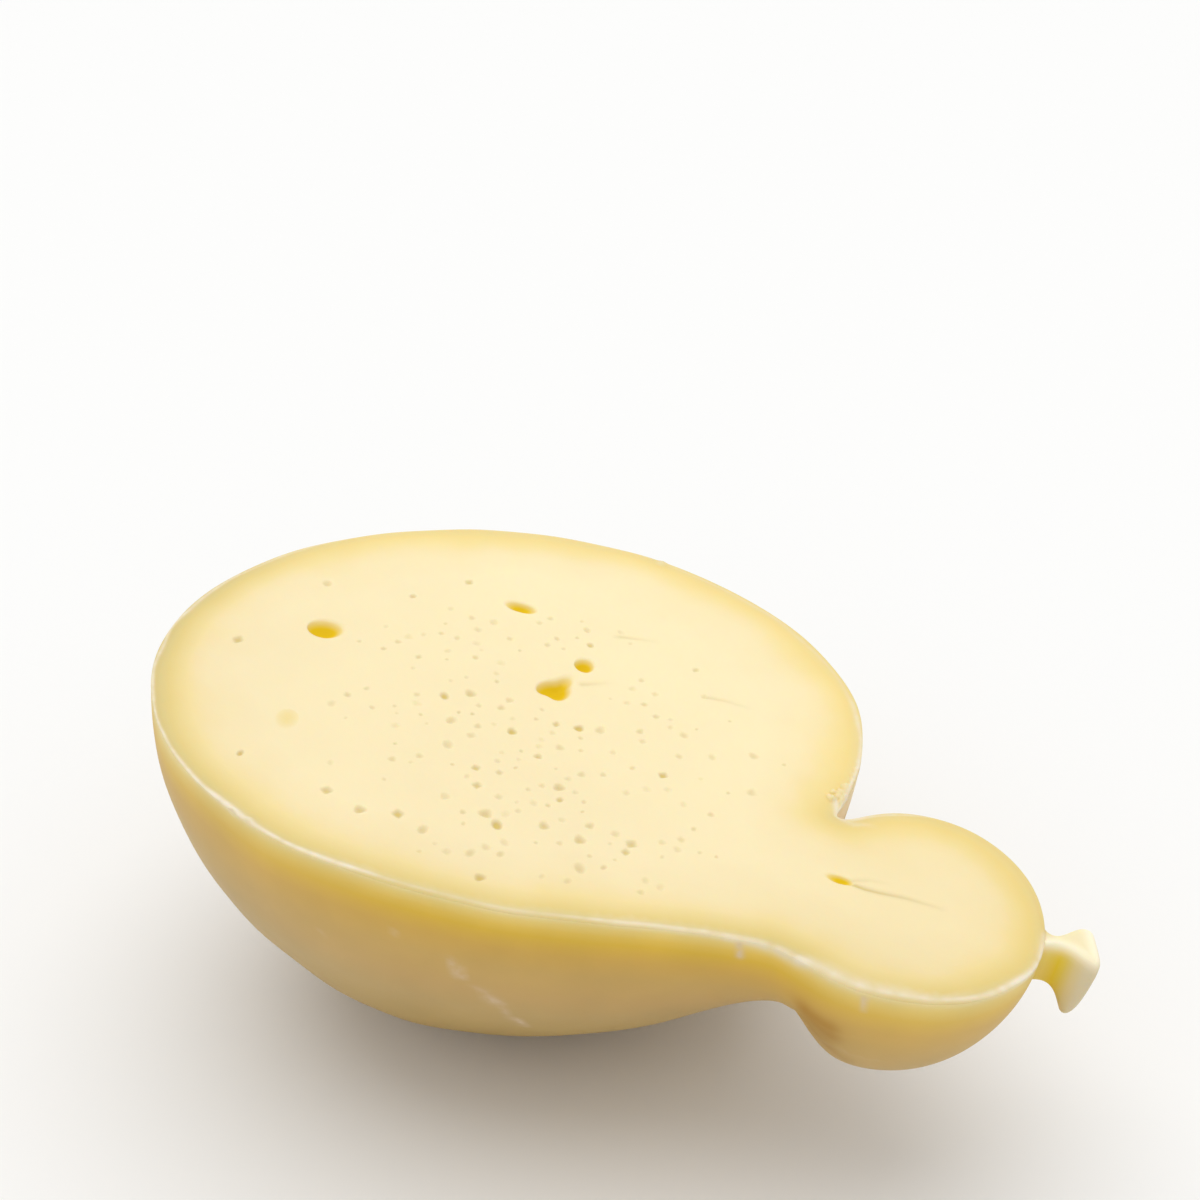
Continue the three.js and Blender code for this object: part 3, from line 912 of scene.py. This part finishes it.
def product(tree, first, second):
    """Two values multiplied."""
    return add(tree, "ShaderNodeMath", {0: first, 1: second}, operation="MULTIPLY").outputs[0]


def scaled(tree, colour, value):
    """A colour made brighter or darker by a value."""
    return add(tree, "ShaderNodeVectorMath", {0: colour, "Scale": value}, operation="SCALE").outputs[0]


def noise(tree, place, size_mm, detail):
    """Smooth noise from 0 to 1 with lumps of that size; Object coordinates are metres."""
    sockets = {"Vector": place, "Scale": 1000 / size_mm, "Detail": detail}
    return add(tree, "ShaderNodeTexNoise", sockets).outputs["Fac"]


def ridged(tree, colour):
    """A colour with the nub's pale cut edge along its ridge laid over it, brightened as a painted highlight
    where it lies in shade.
    """
    on_ridge = product(tree, carried(tree, "pale"), spread(tree, carried(tree, "nub"), 0, 1, *RIDGED_OVER))
    return mixed(tree, on_ridge, colour, linear("#FFF4D6"))


def grain(tree, place, size_mm):
    """A faint relief of that size."""
    sockets = {"Height": noise(tree, place, size_mm, detail=3), "Strength": 0.05, "Distance": 0.0005}
    return add(tree, "ShaderNodeBump", sockets).outputs["Normal"]


def surfaced(tree, sockets):
    """A principled surface with those sockets, as the material's output."""
    surface = add(tree, "ShaderNodeBsdfPrincipled", sockets)
    add(tree, "ShaderNodeOutputMaterial", {"Surface": surface.outputs["BSDF"]})


tree = fresh_tree(paste)
place = add(tree, "ShaderNodeTexCoord").outputs["Object"]
wander = spread(tree, noise(tree, place, size_mm=22, detail=2), *RIM_WANDER, *NOISE_SPAN)
cream = ramp(
    tree, product(tree, carried(tree, "rim"), wander),
    [
        (0, "#E5CE8D"), (0.08, "#EBD692"), (0.145, "#F0D88F"), (0.21, "#F2DB95"), (0.336, "#F4DFA1"),
        (0.4545, "#F6E2AE"), (0.59, "#F7E5B5"), (0.77, "#F8E6B8"), (1, "#F9E8BB"),
    ],
)
clouds = spread(tree, noise(tree, place, size_mm=30, detail=3), *PASTE_CLOUDS, *NOISE_SPAN)
cream = scaled(tree, cream, clouds)
# Painted shade: the paste is a little darker towards the smooth side.
smooth_side_shade = carried(tree, "smooth_side_shade")
cream = mixed(tree, smooth_side_shade, cream, linear("#FAFAFA"), "MULTIPLY")
# Painted shade: the paste's rim is darker still on the smooth side.
smooth_rim_shade = product(tree, smooth_side_shade, spread(tree, carried(tree, "rim"), 1, 0, *RIM_SHADE_SPAN))
cream = mixed(tree, smooth_rim_shade, cream, linear("#F0F1EF"), "MULTIPLY")
# Painted shade: the paste is a little darker over the head.
cream = mixed(tree, carried(tree, "head"), cream, linear("#FBFAF5"), "MULTIPLY")
# Painted shade in pinholes, pricks and hairline tears: a near-grey darkening, yellower in the strongest.
pit_painted_shade = ramp(
    tree, carried(tree, "pit"), [(0, "#FFFFFF"), (0.35, "#F3F2EC"), (0.6, "#ECE8DA"), (1, "#E3D8A2")]
)
cream = mixed(tree, 1, cream, pit_painted_shade, "MULTIPLY")
# Painted light in the eyes: deep yellow for light bounced from paste to paste, with painted shade in the
# deepest part.
hollow = carried(tree, "hollow")
deep = ramp(
    tree, hollow,
    [
        (0, "#F6E6B6"), (0.25, "#F0D992"), (0.4, "#ECD07A"), (0.6, "#E9C74A"), (0.75, "#E5BF0C"),
        (1, "#DFB700"),
    ],
)
holed = mixed(tree, spread(tree, hollow, 0, 1, *PAINTED_LIGHT_OVER), cream, deep)
lipped = mixed(tree, carried(tree, "pale"), holed, linear("#EFE4CF"))
tipped = mixed(tree, spread(tree, carried(tree, "nub"), 0, 1, *FACET_OVER), lipped, linear("#F0E4B8"))
surfaced(
    tree,
    {
        "Base Color": ridged(tree, tipped), "Normal": grain(tree, place, size_mm=1.1),
        "Roughness": 0.5, "IOR": 1.45, "Specular IOR Level": 0.12,
        "Subsurface Weight": spread(tree, hollow, *TRANSLUCENCE, *TRANSLUCENCE_OVER),
        "Subsurface Radius": (1.0, 0.6, 0.25), "Subsurface Scale": 0.003,
    },
)

# The rind's finish
# A thin dry skin rubbed smooth by handling: satin, faintly mottled, with a few pale scuffs. Golden amber
# where the thin rim lets light through is the skin's colour with painted glow, tan and olive-brown lower
# down, darkening towards the bottom as painted shade, the paler skin at both ends is painted sheen, and the
# neck's crease has painted shade.
RIND_BAND = 80
RIND_MOTTLING = (0.96, 1.04)
TWISTED_OVER = (0, 0.15)
SCUFF_LEFT = (0.35, 1)
SCUFF_BREAKS = (0.36, 0.56)
tree = fresh_tree(waxy_rind)
place = add(tree, "ShaderNodeTexCoord").outputs["Object"]
below_share = product(tree, carried(tree, "below"), 1 / RIND_BAND)
# By depth under the cut: painted glow as golden amber just under the rim, then tan, then painted shade
# towards the bottom.
amber_skin = ramp(
    tree, below_share,
    [
        (0, "#ECD898"), (0.014, "#EBD17C"), (0.04, "#E6C257"), (0.065, "#DEB742"), (0.09, "#D9B14A"),
        (0.125, "#D2AA53"), (0.2, "#C9A660"), (0.32, "#C6A468"), (0.42, "#C1A46B"), (0.53, "#BC9F62"),
        (0.75, "#B2914C"),
    ],
)
# Painted sheen: the paler, less amber skin used towards the blunt end and the head.
tan_sheen_painted_skin = ramp(
    tree, below_share,
    [
        (0, "#EAD696"), (0.025, "#E6CB78"), (0.065, "#DEBA5C"), (0.125, "#D1AC60"), (0.23, "#C8A869"),
        (0.42, "#C2A876"), (0.75, "#B4965A"),
    ],
)
skin = mixed(tree, carried(tree, "amber"), tan_sheen_painted_skin, amber_skin)
mottling = spread(tree, noise(tree, place, size_mm=16, detail=4), *RIND_MOTTLING, *NOISE_SPAN)
skin = scaled(tree, skin, mottling)
# Painted shade in the neck's crease.
creased = mixed(tree, carried(tree, "crease"), skin, linear("#DFCCA0"), "MULTIPLY")
crumbly = mixed(tree, carried(tree, "notch"), creased, linear("#F8E4BA"))
lipped = mixed(tree, carried(tree, "pale"), crumbly, linear("#EDE2CB"))
nub_at = carried(tree, "nub")
# Along the nub the rind goes from yellow at the stalk to deep yellow in the concave throat, which is painted
# shade, then beige grey at the flared end.
twisted = ramp(
    tree, nub_at,
    [
        (0, "#E8D080"), (0.3, "#ECD36A"), (0.5, "#E5C836"), (0.62, "#E0C656"), (0.8, "#DCC88C"),
        (1, "#D8CAA6"),
    ],
)
tipped = mixed(tree, spread(tree, nub_at, 0, 1, *TWISTED_OVER), lipped, twisted)
broken = spread(tree, noise(tree, place, size_mm=3.5, detail=3), *SCUFF_LEFT, *SCUFF_BREAKS)
worn = product(tree, carried(tree, "scuff"), broken)
scuffed = mixed(tree, worn, ridged(tree, tipped), linear("#DCC6A8"))
surfaced(
    tree,
    {
        "Base Color": scuffed, "Normal": grain(tree, place, size_mm=1.6),
        "Roughness": 0.5, "IOR": 1.45, "Specular IOR Level": 0.25,
        "Subsurface Weight": 0.12, "Subsurface Radius": (1.0, 0.5, 0.2), "Subsurface Scale": 0.003,
    },
)

# The studio
# A plain pale floor, an even white surround and one broad soft light from above and a little behind, seen
# through a 62 mm lens from the photograph's side, 29 degrees above the floor.
FLOOR_HALF = 3.0
SURROUND = 0.72
KEY_STRENGTH = 1.2
KEY_SOFTNESS = math.radians(70)
KEY_FROM = Vector((-0.2, 0.15, 0.95))
LENS = 62
SENSOR = 36
CAMERA_FROM_POINT = np.array([229.0, -317.5, 250.8])
TARGET_FROM_POINT = np.array([-29.8, 51.2, 0])
CUT_POINT = np.array([96.0, 0, 0])

floor_mesh = bpy.data.meshes.new("floor")
floor_corners = [(x * FLOOR_HALF, y * FLOOR_HALF, 0) for x, y in ((-1, -1), (1, -1), (1, 1), (-1, 1))]
floor_mesh.from_pydata(floor_corners, [], [(0, 1, 2, 3)])
floor = bpy.data.objects.new("floor", floor_mesh)
bpy.context.scene.collection.objects.link(floor)
matt_white = bpy.data.materials.new("matt_white_board")
board_sockets = {"Base Color": linear("#F4F4F3"), "Roughness": 0.9, "Specular IOR Level": 0.1}
surfaced(fresh_tree(matt_white), board_sockets)
floor_mesh.materials.append(matt_white)

scene = bpy.context.scene
scene.view_settings.view_transform = "Standard"
scene.world = bpy.data.worlds.new("white_surround")
scene.world.use_nodes = True
surround = scene.world.node_tree.nodes["Background"]
surround.inputs["Color"].default_value = (1, 1, 1, 1)
surround.inputs["Strength"].default_value = SURROUND
key = bpy.data.objects.new("key", bpy.data.lights.new("key", "SUN"))
key.data.energy = KEY_STRENGTH
key.data.angle = KEY_SOFTNESS
key.rotation_euler = KEY_FROM.to_track_quat("Z", "Y").to_euler()
scene.collection.objects.link(key)

cut_point = turned(CUT_POINT[None])[0] + onto_table
camera = bpy.data.objects.new("camera", bpy.data.cameras.new("camera"))
camera.data.lens = LENS
camera.data.sensor_width = SENSOR
camera.location = Vector((cut_point + CAMERA_FROM_POINT) / 1000)
looking = Vector((TARGET_FROM_POINT - CAMERA_FROM_POINT) / 1000)
camera.rotation_euler = looking.to_track_quat("-Z", "Y").to_euler()
scene.collection.objects.link(camera)
scene.camera = camera
